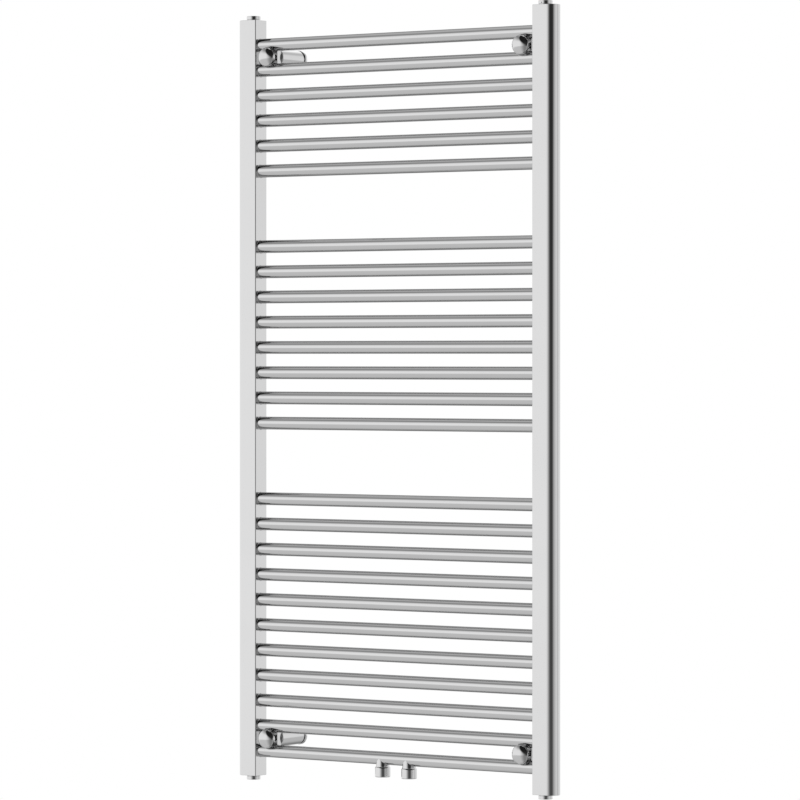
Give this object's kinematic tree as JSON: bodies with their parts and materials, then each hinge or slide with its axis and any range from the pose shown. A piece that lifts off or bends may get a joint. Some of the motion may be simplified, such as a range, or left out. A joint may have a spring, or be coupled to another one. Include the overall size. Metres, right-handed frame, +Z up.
{
  "type": "ladder towel radiator",
  "caption": "Chrome ladder towel radiator with D-profile uprights, round cross tubes in three groups, a centre connection, an air vent and telescopic wall brackets.",
  "frame": {"origin": "on the wall plane, midway between the four wall screw holes", "axes": "+X to the right seen from the front, +Y towards the wall, +Z up along the uprights"},
  "size_m": [0.6, 0.0967, 1.2149],
  "materials": {
    "chrome_upright": "mirror polished chrome plate on drawn steel profile",
    "chrome_tube": "polished chrome plate on round steel tube, faint lengthwise grain",
    "chrome_turned": "polished chrome plate on turned brass",
    "chrome_cast": "satin chrome plate on die-cast zinc",
    "bare_steel": "plain bright steel",
    "nickel_brass": "nickel plated brass",
    "seal_rubber": "black sealing rubber",
    "black_oxide": "black oxide steel"
  },
  "bodies": {
    "wall_mounts": {"wall_sleeve_top_left": "chrome_turned", "wall_sleeve_top_right": "chrome_turned", "wall_sleeve_bottom_left": "chrome_turned", "wall_sleeve_bottom_right": "chrome_turned", "wall_rosettes": "chrome_turned"},
    "radiator": {"upright_left": "chrome_upright", "upright_right": "chrome_upright", "end_cap_top_left": "chrome_upright", "end_cap_top_right": "chrome_upright", "end_cap_bottom_left": "chrome_upright", "end_cap_bottom_right": "chrome_upright", "tube_01": "chrome_tube", "tube_02": "chrome_tube", "tube_03": "chrome_tube", "tube_04": "chrome_tube", "tube_05": "chrome_tube", "tube_06": "chrome_tube", "tube_07": "chrome_tube", "tube_08": "chrome_tube", "tube_09": "chrome_tube", "tube_10": "chrome_tube", "tube_11": "chrome_tube", "tube_12": "chrome_tube", "tube_13": "chrome_tube", "tube_14": "chrome_tube", "tube_15": "chrome_tube", "tube_16": "chrome_tube", "tube_17": "chrome_tube", "tube_18": "chrome_tube", "tube_19": "chrome_tube", "tube_20": "chrome_tube", "tube_21": "chrome_tube", "tube_22": "chrome_tube", "tube_23": "chrome_tube", "tube_24": "chrome_tube", "tube_25": "chrome_tube", "socket_left": "chrome_turned", "socket_right": "chrome_turned", "flow_baffle": "bare_steel", "plug_top_left": "chrome_turned", "plug_bottom_left": "chrome_turned", "plug_bottom_right": "chrome_turned", "vent_body": "chrome_turned", "sealing_rings": "seal_rubber", "clamp_stem_top_left": "chrome_cast", "clamp_stem_top_right": "chrome_cast", "clamp_stem_bottom_left": "chrome_cast", "clamp_stem_bottom_right": "chrome_cast", "clamp_studs": "bare_steel"},
    "vent_screw": {"vent_needle": "nickel_brass"},
    "cap_top_left": {"clamp_cap_top_left": "chrome_turned"},
    "cap_top_right": {"clamp_cap_top_right": "chrome_turned"},
    "cap_bottom_left": {"clamp_cap_bottom_left": "chrome_turned"},
    "cap_bottom_right": {"clamp_cap_bottom_right": "chrome_turned"},
    "grub_top_left": {"grub_screw_top_left": "black_oxide"},
    "grub_top_right": {"grub_screw_top_right": "black_oxide"},
    "grub_bottom_left": {"grub_screw_bottom_left": "black_oxide"},
    "grub_bottom_right": {"grub_screw_bottom_right": "black_oxide"}
  },
  "joints": [
    {"name": "wall_distance", "type": "slide", "parent": "wall_mounts", "child": "radiator", "axis": [0, -1, 0], "range_m": [0, 0.015]},
    {"name": "vent_open", "type": "hinge", "parent": "radiator", "child": "vent_screw", "pos_m": [0.276, -0.075, 0.6], "axis": [0, 0, 1], "range_deg": [0, 360]},
    {"name": "cap_turn_top_left", "type": "hinge", "parent": "radiator", "child": "cap_top_left", "pos_m": [-0.24, -0.0897, 0.54], "axis": [0, -1, 0], "range_deg": [0, 360]},
    {"name": "cap_turn_top_right", "type": "hinge", "parent": "radiator", "child": "cap_top_right", "pos_m": [0.24, -0.0897, 0.54], "axis": [0, -1, 0], "range_deg": [0, 360]},
    {"name": "cap_turn_bottom_left", "type": "hinge", "parent": "radiator", "child": "cap_bottom_left", "pos_m": [-0.24, -0.0897, -0.54], "axis": [0, -1, 0], "range_deg": [0, 360]},
    {"name": "cap_turn_bottom_right", "type": "hinge", "parent": "radiator", "child": "cap_bottom_right", "pos_m": [0.24, -0.0897, -0.54], "axis": [0, -1, 0], "range_deg": [0, 360]},
    {"name": "grub_turn_top_left", "type": "hinge", "parent": "wall_mounts", "child": "grub_top_left", "pos_m": [-0.24, -0.046, 0.54], "axis": [0, 0, -1], "range_deg": [0, 360]},
    {"name": "grub_turn_top_right", "type": "hinge", "parent": "wall_mounts", "child": "grub_top_right", "pos_m": [0.24, -0.046, 0.54], "axis": [0, 0, -1], "range_deg": [0, 360]},
    {"name": "grub_turn_bottom_left", "type": "hinge", "parent": "wall_mounts", "child": "grub_bottom_left", "pos_m": [-0.24, -0.046, -0.54], "axis": [0, 0, -1], "range_deg": [0, 360]},
    {"name": "grub_turn_bottom_right", "type": "hinge", "parent": "wall_mounts", "child": "grub_bottom_right", "pos_m": [0.24, -0.046, -0.54], "axis": [0, 0, -1], "range_deg": [0, 360]}
  ]
}
